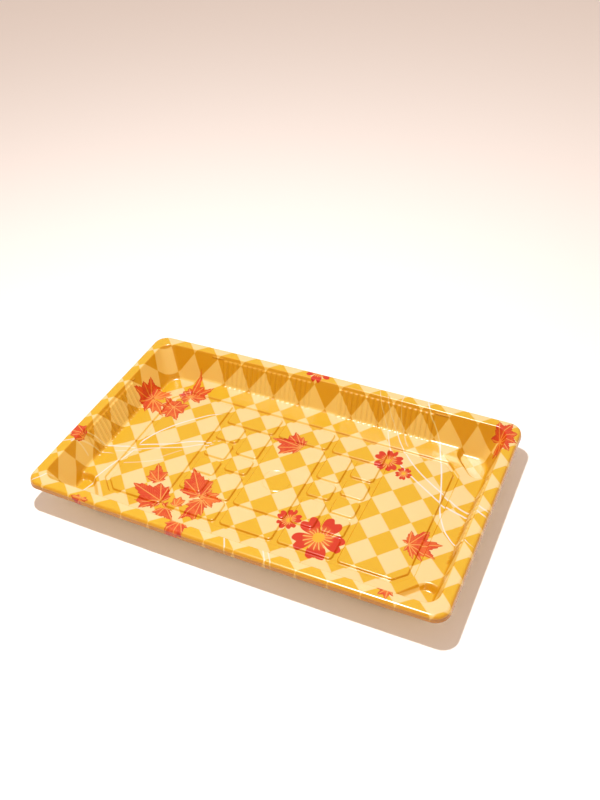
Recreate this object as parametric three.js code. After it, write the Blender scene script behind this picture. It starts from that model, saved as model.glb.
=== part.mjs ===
// Takeaway sushi tray, formed from one thin plastic sheet: a flat rim with a turned-down skirt,
// drafted walls with bands of ribs, a floor of raised cells between channels, and a foot in
// each corner. Millimetres, +Z up, the feet on z = 0 and the origin under the tray's middle.
// The top face of the sheet is drawn first, and the underside follows it at the sheet's thickness.
import * as THREE from 'three';

// Sheet, rim and skirt.
const sheet = 0.45;
const rimLength = 236.2; // across the flat rim's outer edges
const rimWidth = 141.6;
const rimFlat = 6.3;
const rimOuterRadius = 7.6;
const rimInnerRadius = 7.8;
const rimBow = 0.93; // how far the middle of a long side swells outward
const edgeRadius = 2; // rounding between the rim and its skirt
const skirtDrop = 3.75;
const skirtFlare = 0.65;

// Levels of the top face.
const footLevel = sheet;
const footDepth = 2.8;
const floorLevel = footLevel + footDepth;
const channelDepth = 1.1;
const wallRise = 0.5; // how much the border rises to the wall
const rimRise = 18.7;
const channelLevel = floorLevel - channelDepth;
const wallFootLevel = floorLevel + wallRise;
const rimLevel = floorLevel + rimRise;

// Walls and their ribs.
const wallSlope = 0.308; // inward run for each millimetre down
const wallFootRadius = 9;
const ribPitch = 3.34;
const ribRelief = 0.8;
const ribSamples = 4;
const ribTop = 1.9; // below the rim, where the ribs begin
const ribFull = 2.7; // below the rim, where they stand out fully
const ribTopLevel = rimLevel - ribTop;
const ribFullLevel = rimLevel - ribFull;
const longRibCount = 18;
const longRibMiddle = 38.75; // from the tray's middle to the middle of each band
const shortRibCount = 15;

// Corner feet, for the corner where x and y are positive.
const footEndY = 39.4; // top of the step on the short side
const footEndX = 85.5; // top of the step on the long side
const footStep = 3.6; // run of each step along the wall
const footSwell = 1.1; // how far each step's line swells to the tray's middle
const creaseX = 96.8; // where the border starts to rise to the wall
const creaseY = 51.5;
const creaseCutX = 86.9; // ends of the slanting side of the foot
const creaseCutY = 39.8;
const footSlantRun = 2.9;
const shortEndShare = 0.4; // how far the slant's lower ends move in with it
const longEndShare = 0.6;

// Floor cells, with sizes at half the channels' depth.
const channelSlopeRun = 0.7;
const cellRadius = 2;
const middleHalf = 15.45;
const columnInner = 18.8;
const columnSplitInner = 32.5;
const columnSplitOuter = 36;
const columnOuter = 49.7;
const plateInner = 53;
const plateOuter = 89.1;
const plateCut = 6.3;
const rowsEnd = 43.8;
const endRowInner = 29.4;
const middleRowEnd = 28.06;
const cellGap = 2.4;
const outerCellCuts = [13.7, -1, -14.9];
const innerCellCuts = [6.2, -7.9];
const frameX = 92.6;
const frameY = 46;
const frameCut = 8.4;

// How finely round and straight stretches are drawn.
const cornerSteps = 6;
const cellCornerSteps = 3;
const edgeSteps = 3;
const swollenSteps = 4;
const longSpots = [-80, -60, -40, -20, 0, 20, 40, 60, 80];
const shortSpots = [-40, 0, 40];

// Places round the tray.
// Side 0 faces +X, and the sides follow counterclockwise. A station is a place on a side, or on
// the corner after it, that every loop round the tray has in common.

function sideStation(side, along, relief = 0) {
  return { side, along, relief, corner: false };
}

function cornerStations(side) {
  const turns = Array.from({ length: cornerSteps + 1 }, (_, i) => i / cornerSteps);
  return turns.map((turn) => ({ side, turn, relief: 0, corner: true }));
}

function isLong(side) {
  return side % 2 === 1;
}

// A ring is a rounded rectangle at one level, whose long sides may bow.
function ring(halfX, halfY, radius, bow, level) {
  return { halfX, halfY, radius, bow, level };
}

function wallRing(level) {
  const run = (rimLevel - level) * wallSlope;
  const down = (rimLevel - level) / (rimLevel - wallFootLevel);
  const radius = rimInnerRadius + (wallFootRadius - rimInnerRadius) * Math.min(down, 1);
  const halfX = rimLength / 2 - rimFlat - run;
  const halfY = rimWidth / 2 - rimFlat - run;
  return ring(halfX, halfY, radius, rimBow * Math.max(1 - down, 0), level);
}

function outerRing(out, down) {
  const halfX = rimLength / 2 + out;
  const halfY = rimWidth / 2 + out;
  return ring(halfX, halfY, rimOuterRadius + out, rimBow, rimLevel - down);
}

function placeOn(shape, station) {
  const angle = station.side * Math.PI / 2;
  const outward = new THREE.Vector2(Math.round(Math.cos(angle)), Math.round(Math.sin(angle)));
  const travel = new THREE.Vector2(-outward.y, outward.x);
  const reach = isLong(station.side) ? shape.halfY : shape.halfX;
  const length = isLong(station.side) ? shape.halfX : shape.halfY;
  const straight = length - shape.radius;
  let out = reach - station.relief;
  let along = station.along;
  if (station.corner) {
    const turn = station.turn * Math.PI / 2;
    out = reach - shape.radius * (1 - Math.cos(turn));
    along = straight + shape.radius * Math.sin(turn);
  } else if (isLong(station.side)) {
    out += shape.bow * (1 - (along / straight) ** 2);
  }
  const plan = outward.multiplyScalar(out).addScaledVector(travel, along);
  return new THREE.Vector3(plan.x, plan.y, shape.level);
}

// Order of a station round the tray, for joining loops with unlike numbers of points.
function stationOrder(station) {
  if (station.corner) {
    return station.side * 2 + 1 + station.turn;
  }
  const half = isLong(station.side) ? rimLength / 2 : rimWidth / 2;
  return station.side * 2 + (station.along / half + 1) / 2;
}

function plainStations() {
  const stations = [];
  for (let side = 0; side < 4; side += 1) {
    const spots = isLong(side) ? longSpots : shortSpots;
    stations.push(...spots.map((along) => sideStation(side, along)), ...cornerStations(side));
  }
  return stations;
}

// Half-round ribs side by side, with a sharp valley between them.
function ribBand(side, middle, count) {
  const start = middle - count * ribPitch / 2;
  const stations = [];
  for (let i = 0; i <= count * ribSamples; i += 1) {
    const across = 2 * (i % ribSamples) / ribSamples - 1;
    const relief = ribRelief * Math.sqrt(1 - across * across);
    stations.push(sideStation(side, start + i * ribPitch / ribSamples, relief));
  }
  return stations;
}

function ribbedStations() {
  const stations = [];
  for (let side = 0; side < 4; side += 1) {
    const stepTop = isLong(side) ? footEndX : footEndY;
    const bands = isLong(side)
      ? [...ribBand(side, -longRibMiddle, longRibCount), ...ribBand(side, longRibMiddle, longRibCount)]
      : ribBand(side, 0, shortRibCount);
    stations.push(sideStation(side, -stepTop - footStep), sideStation(side, -stepTop));
    stations.push(...bands);
    stations.push(sideStation(side, stepTop), sideStation(side, stepTop + footStep));
    stations.push(...cornerStations(side));
  }
  return stations;
}

// True where the wall runs down into a corner foot.
function isInFoot(station) {
  const stepTop = isLong(station.side) ? footEndX : footEndY;
  return station.corner || Math.abs(station.along) > stepTop;
}

// Skin: the top face of the sheet, as points and triangles facing up.

function addPoints(skin, points) {
  const first = skin.points.length;
  skin.points.push(...points);
  return points.map((_, i) => first + i);
}

function addRing(skin, shape, stations) {
  const points = stations.map((station) => placeOn(shape, { ...station, relief: 0 }));
  return addPoints(skin, points);
}

function bridge(skin, outer, inner) {
  outer.forEach((_, i) => {
    const next = (i + 1) % outer.length;
    skin.faces.push([outer[i], outer[next], inner[next]], [outer[i], inner[next], inner[i]]);
  });
}

// Joins a loop to one inside it whose stations are more closely spaced.
function stitch(skin, outer, outerStations, inner, innerStations) {
  const outerOrder = [...outerStations.map(stationOrder), 8];
  const innerOrder = [...innerStations.map(stationOrder), 8];
  outerOrder[outer.length] += outerOrder[0];
  innerOrder[inner.length] += innerOrder[0];
  let i = 0;
  let j = 0;
  while (i < outer.length || j < inner.length) {
    const a = outer[i % outer.length];
    const b = inner[j % inner.length];
    const stepOuter = j === inner.length || (i < outer.length && outerOrder[i + 1] < innerOrder[j + 1]);
    if (stepOuter) {
      i += 1;
      skin.faces.push([a, outer[i % outer.length], b]);
    } else {
      j += 1;
      skin.faces.push([a, inner[j % inner.length], b]);
    }
  }
}

// Fills the area between a loop and the loops inside it, seen from above.
function fill(skin, outer, holes = []) {
  const plan = (loop) => loop.map((i) => new THREE.Vector2(skin.points[i].x, skin.points[i].y));
  const order = [outer, ...holes].flat();
  const faces = THREE.ShapeUtils.triangulateShape(plan(outer), holes.map(plan));
  skin.faces.push(...withoutSlivers(skin, faces.map((face) => face.map((i) => order[i]))));
}

// Twice a face's area in plan, positive where its points run counterclockwise.
function planArea(skin, face) {
  const [p, q, r] = face.map((i) => skin.points[i]);
  return (q.x - p.x) * (r.y - p.y) - (q.y - p.y) * (r.x - p.x);
}

// Where three points of a face lie in a row, the face gives its middle point to the neighbour
// across its longest side, and the pair is divided the other way.
function withoutSlivers(skin, faces) {
  const least = 1e-6;
  const length = (a, b) => skin.points[a].distanceTo(skin.points[b]);
  const isSliver = (face) => Math.abs(planArea(skin, face)) <= least;
  const result = faces.map((face) => (planArea(skin, face) < -least ? face.toReversed() : face));
  while (result.some(isSliver)) {
    const at = result.findIndex(isSliver);
    const face = result[at];
    const spans = face.map((point, k) => length(point, face[(k + 1) % 3]));
    const k = spans.indexOf(Math.max(...spans));
    const [a, b, middle] = [face[k], face[(k + 1) % 3], face[(k + 2) % 3]];
    const across = result.findIndex((other, i) => i !== at && other.includes(a) && other.includes(b));
    const far = result[across].find((point) => point !== a && point !== b);
    const pair = [[a, middle, far], [middle, b, far]];
    const facingUp = pair.map((one) => (planArea(skin, one) < 0 ? one.toReversed() : one));
    [result[at], result[across]] = facingUp;
  }
  return result;
}

// Rim, skirt and walls.

// The rings over the rim's rounded outer edge, from its skirt to its flat top.
function edgeRings() {
  const turn = Math.PI / 2 - Math.atan(skirtFlare / skirtDrop);
  const inset = edgeRadius * Math.tan(turn / 2);
  return Array.from({ length: edgeSteps + 1 }, (_, i) => {
    const angle = turn * (1 - i / edgeSteps);
    return outerRing(edgeRadius * Math.sin(angle) - inset, edgeRadius * (1 - Math.cos(angle)));
  });
}

function addRimAndWalls(skin) {
  const plain = plainStations();
  const ribbed = ribbedStations();
  const lip = addRing(skin, outerRing(skirtFlare, skirtDrop), plain);
  const edge = edgeRings().map((shape) => addRing(skin, shape, plain));
  const rimInner = addRing(skin, wallRing(rimLevel), plain);
  const above = addRing(skin, wallRing(ribTopLevel), ribbed);
  const below = addPoints(skin, ribbed.map((station) => placeOn(wallRing(ribFullLevel), station)));
  const wallFoot = addPoints(skin, ribbed.map((station) => {
    return placeOn(wallRing(isInFoot(station) ? footLevel : wallFootLevel), station);
  }));
  const rimLoops = [lip, ...edge, rimInner];
  rimLoops.slice(1).forEach((loop, i) => bridge(skin, rimLoops[i], loop));
  stitch(skin, rimInner, plain, above, ribbed);
  bridge(skin, above, below);
  bridge(skin, below, wallFoot);
  return { lip, wallFoot, stations: ribbed };
}

// Corner feet.

// A shallow curve from one point to another, swelling to the left of the way it goes.
function swollen(from, to, swell) {
  const left = new THREE.Vector3(from.y - to.y, to.x - from.x, 0).normalize();
  const middle = from.clone().add(to).multiplyScalar(0.5).addScaledVector(left, 2 * swell);
  return new THREE.QuadraticBezierCurve3(from, middle, to).getPoints(swollenSteps).slice(1, swollenSteps);
}

// The top and the bottom line of a foot's step, from the short side to the long side.
function footLines() {
  const at = (x, y, level) => new THREE.Vector3(x, y, level);
  const high = wallRing(wallFootLevel);
  const low = wallRing(footLevel);
  const slant = at(creaseX - creaseCutX, creaseCutY - creaseY, 0).normalize();
  const inward = at(-slant.y, slant.x, 0).multiplyScalar(footSlantRun);
  const upper = [at(high.halfX, footEndY, wallFootLevel), at(creaseX, creaseCutY, floorLevel),
    at(creaseCutX, creaseY, floorLevel), at(footEndX, high.halfY, wallFootLevel)];
  const lower = [at(low.halfX, footEndY + footStep, footLevel), null,
    null, at(footEndX + footStep, low.halfY, footLevel)];
  lower[1] = at(creaseX + inward.x * shortEndShare, footEndY + footStep, footLevel);
  lower[2] = at(footEndX + footStep, creaseY + inward.y * longEndShare, footLevel);
  const trace = (ends) => [...swollen(ends[0], ends[1], footSwell), ends[1], ends[2],
    ...swollen(ends[2], ends[3], footSwell / 2)];
  return { upper: trace(upper), lower: trace(lower) };
}

// Mirrors a line of the first corner into another, and runs it counterclockwise.
function turnedTo(corner, line) {
  const signX = corner === 1 || corner === 2 ? -1 : 1;
  const signY = corner > 1 ? -1 : 1;
  const moved = line.map((p) => new THREE.Vector3(p.x * signX, p.y * signY, p.z));
  return corner % 2 === 1 ? moved.reverse() : moved;
}

// Loop indices in one foot's stretch of the wall, from its first low point to its last.
function footStretch(wall, corner) {
  const isHere = (station) => {
    const before = station.side === corner && (station.corner || station.along > 0);
    const after = station.side === (corner + 1) % 4 && !station.corner && station.along < 0;
    return isInFoot(station) && (before || after);
  };
  const picked = wall.stations.map((station, i) => ({ station, i })).filter((item) => isHere(item.station));
  const before = picked.filter((item) => item.station.side === corner);
  const after = picked.filter((item) => item.station.side !== corner);
  return [...before, ...after].map((item) => item.i);
}

function addFeet(skin, wall) {
  const lines = footLines();
  const count = wall.wallFoot.length;
  return [0, 1, 2, 3].map((corner) => {
    const stretch = footStretch(wall, corner);
    const first = (stretch[0] + count - 1) % count;
    const last = (stretch[stretch.length - 1] + 1) % count;
    const low = stretch.map((i) => wall.wallFoot[i]);
    const upper = addPoints(skin, turnedTo(corner, lines.upper));
    const lower = addPoints(skin, turnedTo(corner, lines.lower));
    const top = [wall.wallFoot[first], ...upper, wall.wallFoot[last]];
    const bottom = [low[0], ...lower, low[low.length - 1]];
    for (let i = 0; i + 1 < top.length; i += 1) {
      skin.faces.push([bottom[i], bottom[i + 1], top[i + 1]], [bottom[i], top[i + 1], top[i]]);
    }
    fill(skin, [...low, ...lower.slice().reverse()]);
    return { upper, first, last };
  });
}

// Floor.

// The strips that rise from the border to the wall, one on each side between two feet.
function addWallStrips(skin, wall, feet) {
  const bend = (feet[0].upper.length - 2) / 2;
  feet.forEach((foot, corner) => {
    const next = feet[(corner + 1) % 4];
    const stretch = [];
    for (let i = foot.last; i !== next.first; i = (i + 1) % wall.wallFoot.length) {
      stretch.push(wall.wallFoot[i]);
    }
    stretch.push(wall.wallFoot[next.first]);
    const back = foot.upper.slice(bend + 1);
    const ahead = next.upper.slice(0, bend + 1);
    fill(skin, [...stretch, ...ahead, ...back]);
  });
  return feet.flatMap((foot) => [foot.upper[bend], foot.upper[bend + 1]]);
}

// The corners of a box, where its right-hand or all corners may be cut off, grown on every side.
function boxCorners({ x0, x1, y0, y1, cutRight = 0, cutLeft = 0 }, grow) {
  const sized = (cut) => (cut > 0 ? cut + grow * (2 - Math.SQRT2) : 0);
  const right = sized(cutRight);
  const left = sized(cutLeft);
  const [ax, bx, ay, by] = [x0 - grow, x1 + grow, y0 - grow, y1 + grow];
  const corners = [[bx - right, ay], [bx, ay + right], [bx, by - right], [bx - right, by],
    [ax + left, by], [ax, by - left], [ax, ay + left], [ax + left, ay]];
  return corners.filter((p, i) => i === 0 || p[0] !== corners[i - 1][0] || p[1] !== corners[i - 1][1]);
}

// A polygon with its corners rounded, at one level.
function rounded(corners, radius, level) {
  const points = [];
  corners.forEach(([x, y], i) => {
    const here = new THREE.Vector2(x, y);
    const before = new THREE.Vector2(...corners[(i + corners.length - 1) % corners.length]).sub(here);
    const after = new THREE.Vector2(...corners[(i + 1) % corners.length]).sub(here);
    const bend = Math.PI - Math.abs(before.angleTo(after));
    const set = radius * Math.tan(bend / 2);
    const start = here.clone().addScaledVector(before.normalize(), set);
    const centre = start.clone().add(new THREE.Vector2(before.y, -before.x).multiplyScalar(radius));
    const from = start.clone().sub(centre).angle();
    const steps = bend > 1 ? cellCornerSteps : 1;
    for (let k = 0; k <= steps; k += 1) {
      const angle = from + bend * k / steps;
      const px = centre.x + radius * Math.cos(angle);
      const py = centre.y + radius * Math.sin(angle);
      points.push(new THREE.Vector3(px, py, level));
    }
  });
  return points;
}

// Cells one above another in a column, parted by gaps at the given cuts.
function cellColumn(x0, x1, cuts) {
  const ends = [middleRowEnd, ...cuts.map((cut) => cut - cellGap / 2)];
  const starts = [...cuts.map((cut) => cut + cellGap / 2), -middleRowEnd];
  return ends.map((y1, i) => ({ x0, x1, y0: starts[i], y1 }));
}

function mirrored(box) {
  return { ...box, x0: -box.x1, x1: -box.x0, cutRight: box.cutLeft, cutLeft: box.cutRight };
}

function floorCells() {
  const rows = [[endRowInner, rowsEnd], [-rowsEnd, -endRowInner]];
  const half = [
    ...rows.map(([y0, y1]) => ({ x0: columnInner, x1: columnOuter, y0, y1 })),
    ...cellColumn(columnSplitOuter, columnOuter, outerCellCuts),
    ...cellColumn(columnInner, columnSplitInner, innerCellCuts),
    { x0: plateInner, x1: plateOuter, y0: -rowsEnd, y1: rowsEnd, cutRight: plateCut },
  ];
  const middle = [...rows, [-middleRowEnd, middleRowEnd]];
  return [...half, ...half.map(mirrored),
    ...middle.map(([y0, y1]) => ({ x0: -middleHalf, x1: middleHalf, y0, y1 }))];
}

function addFloor(skin, crease) {
  const grow = channelSlopeRun / 2;
  const frame = { x0: -frameX, x1: frameX, y0: -frameY, y1: frameY, cutRight: frameCut, cutLeft: frameCut };
  const frameTop = addPoints(skin, rounded(boxCorners(frame, grow), cellRadius + grow, floorLevel));
  const frameBase = addPoints(skin, rounded(boxCorners(frame, -grow), cellRadius - grow, channelLevel));
  fill(skin, crease, [frameTop]);
  bridge(skin, frameTop, frameBase);
  const bases = floorCells().map((cell) => {
    const base = addPoints(skin, rounded(boxCorners(cell, grow), cellRadius + grow, channelLevel));
    const top = addPoints(skin, rounded(boxCorners(cell, -grow), cellRadius - grow, floorLevel));
    bridge(skin, base, top);
    fill(skin, top);
    return base;
  });
  fill(skin, frameBase, bases);
}

// Thickness.

// For each point, the step that keeps the underside one sheet away from every face round it.
function underSteps(skin, lip) {
  const sums = skin.points.map(() => ({ grid: new Array(9).fill(0), pull: new THREE.Vector3() }));
  const add = (sum, normal, distance, weight) => {
    const n = normal.toArray();
    sum.pull.addScaledVector(normal, distance * weight);
    for (let k = 0; k < 9; k += 1) {
      sum.grid[k] += weight * n[Math.floor(k / 3)] * n[k % 3];
    }
  };
  for (const face of skin.faces) {
    const [p, q, r] = face.map((i) => skin.points[i]);
    const normal = q.clone().sub(p).cross(r.clone().sub(p)).normalize();
    face.forEach((point, k) => {
      const here = skin.points[point];
      const one = skin.points[face[(k + 1) % 3]].clone().sub(here);
      const two = skin.points[face[(k + 2) % 3]].clone().sub(here);
      add(sums[point], normal, -sheet, one.angleTo(two));
    });
  }
  const levelWeight = 100; // the lip's lower edge stays level
  lip.forEach((point) => add(sums[point], new THREE.Vector3(0, 0, 1), 0, levelWeight));
  return sums.map(({ grid, pull }) => {
    const ease = 0.0001; // keeps the sum solvable where every face round a point lies flat
    const average = pull.clone().setLength(sheet);
    const matrix = new THREE.Matrix3().fromArray(grid);
    [0, 4, 8].forEach((k) => { matrix.elements[k] += ease; });
    return pull.clone().addScaledVector(average, ease).applyMatrix3(matrix.invert());
  });
}

function thickened(skin, lip) {
  const steps = underSteps(skin, lip);
  const count = skin.points.length;
  const under = skin.points.map((point, i) => point.clone().add(steps[i]));
  const faces = [...skin.faces];
  for (const [a, b, c] of skin.faces) {
    faces.push([a + count, c + count, b + count]);
  }
  lip.forEach((here, i) => {
    const next = lip[(i + 1) % lip.length];
    faces.push([here, here + count, next + count], [here, next + count, next]);
  });
  const geometry = new THREE.BufferGeometry();
  geometry.setFromPoints([...skin.points, ...under]);
  geometry.setIndex(faces.flat());
  geometry.computeVertexNormals();
  return geometry;
}

function trayGeometry() {
  const skin = { points: [], faces: [] };
  const wall = addRimAndWalls(skin);
  const feet = addFeet(skin, wall);
  const crease = addWallStrips(skin, wall, feet);
  addFloor(skin, crease);
  return thickened(skin, wall.lip);
}

const plastic = new THREE.MeshStandardMaterial({ color: 0xf6b83e, roughness: 0.25, metalness: 0 });
const tray = new THREE.Mesh(trayGeometry(), plastic);
tray.name = 'tray';

const part = new THREE.Group();
part.add(tray);

export default part;
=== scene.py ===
import math

import bpy
import numpy as np
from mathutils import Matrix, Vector, geometry


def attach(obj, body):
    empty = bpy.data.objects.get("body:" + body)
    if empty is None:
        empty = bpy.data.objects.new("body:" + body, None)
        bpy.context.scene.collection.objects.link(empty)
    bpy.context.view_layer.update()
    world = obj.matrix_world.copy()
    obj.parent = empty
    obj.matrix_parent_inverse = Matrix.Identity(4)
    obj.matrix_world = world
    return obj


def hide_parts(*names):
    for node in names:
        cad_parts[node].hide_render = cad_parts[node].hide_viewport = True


# Looks of a takeaway sushi tray: one thin glossy printed sheet, formed into a shallow tray.
# Shapes are drawn in millimetres and turned to metres when the mesh is made.
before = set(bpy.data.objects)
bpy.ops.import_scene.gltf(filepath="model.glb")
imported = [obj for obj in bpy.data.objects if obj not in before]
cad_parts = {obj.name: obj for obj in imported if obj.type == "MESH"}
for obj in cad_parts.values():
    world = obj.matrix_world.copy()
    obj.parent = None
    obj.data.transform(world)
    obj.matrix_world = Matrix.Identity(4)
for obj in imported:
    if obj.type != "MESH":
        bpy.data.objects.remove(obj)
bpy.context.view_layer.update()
print("frame loaded")

# The formed sheet, in millimetres. Levels are heights of the sheet's top face.
form = {
    "sheet": 0.45,
    "rimLength": 236.2,
    "rimWidth": 141.6,
    "rimFlat": 6.3,
    "rimOuterRadius": 7.6,
    "rimInnerRadius": 7.8,
    "rimBow": 0.93,           # swell of the long sides at their middle
    "rimEdge": 2.0,           # rounding of the rim's outer edge
    "rimInnerEdge": 0.75,     # rounding where the rim turns down into the tray
    "skirtDrop": 3.75,
    "skirtFlare": 0.65,
    "footLevel": 0.45,
    "footDepth": 2.8,
    "wallRise": 0.5,          # how much the border rises to the wall
    "rimRise": 18.7,          # rim above the floor's cells
    "wallSlope": 0.308,
    "wallFootRadius": 9.0,
    "wallFillet": 2.2,
    "floorStart": 6.0,        # floor beyond the wall's foot that its fillet is measured against
    "channelDepth": 1.1,
}
form["floorLevel"] = form["footLevel"] + form["footDepth"]
form["channelLevel"] = form["floorLevel"] - form["channelDepth"]
form["wallLevel"] = form["floorLevel"] + form["wallRise"]
form["rimLevel"] = form["floorLevel"] + form["rimRise"]

ribs = {
    "pitch": 3.34,
    "relief": 0.8,
    "samples": 8,
    "longCount": 18,
    "longMiddle": 38.75,
    "shortCount": 15,
    "top": 1.85,              # below the rim, where the ribs begin
    "full": 2.9,              # below the rim, where they stand out fully
}

# Short raised bars under the rim, which keep stacked trays apart: where each starts and ends along
# its wall, and its middle and half height below the rim.
bars = {
    "long": (69.0, 76.5),
    "short": (24.6, 27.6),
    "relief": 0.45,
    "depth": 1.75,
    "half": 0.5,
    "end": 0.4,               # half length of the slope at each end
    "spacing": 2.0,           # between the wall's points beside the ribs, and clear of their ends
    "clear": 1.0,
}

# The corner feet: where each ends along its two walls, and the crease and the cut across the corner
# that its step follows.
foot = {
    "endY": 39.4,
    "endX": 85.5,
    "step": 3.6,
    "swell": 1.1,
    "creaseX": 96.8,
    "creaseY": 51.5,
    "cutX": 86.9,
    "cutY": 39.8,
    "slantRun": 2.9,
    "stepRows": 8,
    "shortBend": 7,           # steps in the swollen line at the short side's wall, and at the long side's
    "longBend": 6,
    "slantSteps": 10,
    "lowRunX": 0.4,           # shares of the slant's run by which the step's lower line moves
    "lowRunY": 0.6,
}

# The floor's cells, by their edges in the +X half, and the frame round them.
cells = {
    "steepness": 60.0,        # of each cell's edge, in degrees
    "edgeTop": 0.65,          # rounding at the top and at the foot of each cell's edge
    "edgeFoot": 0.4,
    "radius": 2.0,
    "middleHalf": 15.45,
    "inner": 18.8,
    "splitInner": 32.5,
    "splitOuter": 36.0,
    "outer": 49.7,
    "plateInner": 53.0,
    "plateOuter": 89.1,
    "plateCut": 6.3,
    "rowsEnd": 43.8,
    "endRowInner": 29.4,
    "middleRowEnd": 28.06,
    "gap": 2.4,
    "outerCuts": [13.7, -1.0, -14.9],
    "innerCuts": [6.2, -7.9],
    "frameX": 92.6,
    "frameY": 46.0,
    "frameCut": 8.4,
    "edgeRows": 5,
    "cornerSteps": 6,
}

# A thin raised ring on the middle cell.
ring = {"x": -0.5, "y": -4.0, "radius": 8.0, "width": 1.2, "relief": 0.22, "rows": 6, "steps": 64}

# How the flat printed sheet stretched when it was formed.
stretch = {
    "floorX": 1.030,
    "floorY": 1.088,
    "edgeX": 1.3,             # more stretch near the floor's edges, in millimetres
    "edgeY": 0.6,
    "edgeRun": 9.0,
    "beyondX": 9.0,           # from the crease to where the floor's edges are counted
    "beyondY": 7.0,
    "rimLeft": 1.2,           # how far the print on the left and front rim lies inward
    "rimFront": 1.0,
    "frontGain": 0.15,
    "leftRun": 60.0,          # over this distance from the middle those two shifts come in
    "frontRun": 40.0,
    "edgeHold": 1.2,          # from here outward the print is drawn out over the edge
    "edgeShare": 0.25,
}

# The sheet's places are kept as a UV map, in units of sheetScale millimetres.
millimetre = 0.001
sheetScale = 100

# How finely round stretches are drawn, and the wall's rows by their depth below the rim.
cornerSteps = 16
arcSteps = 6
wallRows = [1.25, 1.5, 1.7, 1.85, 2.0, 2.15, 2.3, 2.45, 2.6, 2.75, 2.95]


# Side 0 faces +X and the sides follow counterclockwise. A station is a place on a side or on the
# corner after it, and every loop round the tray has the same stations.

def isLong(side):
    return side % 2 == 1


def onSide(side, along, relief=0.0, bar=0.0):
    return {"side": side, "along": along, "relief": relief, "bar": bar, "turn": None}


def onCorner(side, turn):
    return {"side": side, "along": 0.0, "relief": 0.0, "bar": 0.0, "turn": turn}


def ribBand(side, middle, count):
    samples = ribs["samples"]
    start = middle - count * ribs["pitch"] / 2
    band = []
    for i in range(count * samples + 1):
        across = 2 * (i % samples) / samples - 1
        relief = ribs["relief"] * math.sqrt(1 - across * across)
        band.append(onSide(side, start + i * ribs["pitch"] / samples, relief))
    return band


# The plain wall between a band of ribs and a foot, with its short stacking bar.
def besideRibs(side, start, end):
    first, last = bars["long"] if isLong(side) else bars["short"]
    clear, slope = bars["clear"], bars["end"]
    count = max(3, int((end - start) / bars["spacing"]))
    spots = list(np.linspace(start + clear, end - clear, count))
    spots += [middle + shift for middle in (first, last) for shift in (-slope, 0, slope)]
    stations = []
    for along in sorted(spots):
        inside = min(along - first, last - along)
        stations.append(onSide(side, along, bar=max(0.0, min(1.0, 0.5 + inside / (2 * slope)))))
    return [s for s in stations if start + clear / 2 < s["along"] < end - clear / 3]


def mirroredRun(stations):
    return [dict(s, along=-s["along"]) for s in reversed(stations)]


def stationsRound():
    stations = []
    for side in range(4):
        end = foot["endX"] if isLong(side) else foot["endY"]
        steps = [end + foot["step"] * k / foot["stepRows"] for k in range(foot["stepRows"] + 1)]
        if isLong(side):
            middle = ribs["longMiddle"]
            bands = ribBand(side, -middle, ribs["longCount"]) + ribBand(side, middle, ribs["longCount"])
        else:
            bands = ribBand(side, 0, ribs["shortCount"])
        beyond = besideRibs(side, bands[-1]["along"], end)
        beyond += [onSide(side, along) for along in steps]
        stations += mirroredRun(beyond) + bands + beyond
        stations += [onCorner(side, k / cornerSteps) for k in range(cornerSteps + 1)]
    return stations


def placeOn(station, halfX, halfY, radius, bow, inset=0.0):
    side = station["side"]
    reach, length = (halfY, halfX) if isLong(side) else (halfX, halfY)
    straight = length - radius
    along = station["along"]
    out = reach - inset
    if station["turn"] is not None:
        turn = station["turn"] * math.pi / 2
        out = reach - radius * (1 - math.cos(turn))
        along = straight + radius * math.sin(turn)
    elif isLong(side):
        out += bow * (1 - (along / straight) ** 2)
    outward = [(1, 0), (0, 1), (-1, 0), (0, -1)][side]
    travel = (-outward[1], outward[0])
    return outward[0] * out + travel[0] * along, outward[1] * out + travel[1] * along


def smooth(u):
    u = max(0.0, min(1.0, u))
    return u * u * (3 - 2 * u)


# Level of the wall's foot at a station: down in the feet, with a soft step beside them.
def wallFootLevel(station):
    end = foot["endX"] if isLong(station["side"]) else foot["endY"]
    down = 1.0 if station["turn"] is not None else smooth((abs(station["along"]) - end) / foot["step"])
    return form["wallLevel"] + (form["footLevel"] - form["wallLevel"]) * down


# The section is a line of corners (inset from the rim's edge, level), rounded at each inner one.
# Every sample keeps its place on the unrounded line, which says how the printed sheet lies.
def sectionSamples(levelAtFoot):
    rise = form["rimLevel"] - levelAtFoot
    footInset = form["rimFlat"] + rise * form["wallSlope"]
    corners = [(-form["skirtFlare"], form["rimLevel"] - form["skirtDrop"]), (0.0, form["rimLevel"]),
               (form["rimFlat"], form["rimLevel"]), (footInset, levelAtFoot),
               (footInset + form["floorStart"], levelAtFoot)]
    radii = [form["rimEdge"], form["rimInnerEdge"], form["wallFillet"]]
    points = [Vector(corner) for corner in corners]
    samples = [(points[0], 0.0)]
    reach = 0.0
    for k, radius in enumerate(radii, start=1):
        before = (points[k - 1] - points[k]).normalized()
        after = (points[k + 1] - points[k]).normalized()
        bend = math.pi - before.angle(after)
        cut = radius * math.tan(bend / 2)
        length = (points[k] - points[k - 1]).length
        spots = wallSpots(length, cut) if k == 3 else straightSpots(length, reach, cut)
        samples += [(points[k - 1].lerp(points[k], s / length), k - 1 + s / length) for s in spots]
        centre = points[k] + (before + after).normalized() * radius / math.cos(bend / 2)
        start = points[k] + before * cut - centre
        turnWay = -1 if before.x * after.y - before.y * after.x > 0 else 1
        nextLength = (points[k + 1] - points[k]).length
        for i in range(arcSteps + 1):
            share = 2 * i / arcSteps - 1
            place = k + share * cut / (length if share < 0 else nextLength)
            samples.append((centre + turned(start, turnWay * bend * i / arcSteps), place))
        reach = cut
    return samples


def turned(vector, angle):
    return Vector((vector.x * math.cos(angle) - vector.y * math.sin(angle),
                   vector.x * math.sin(angle) + vector.y * math.cos(angle)))


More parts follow.
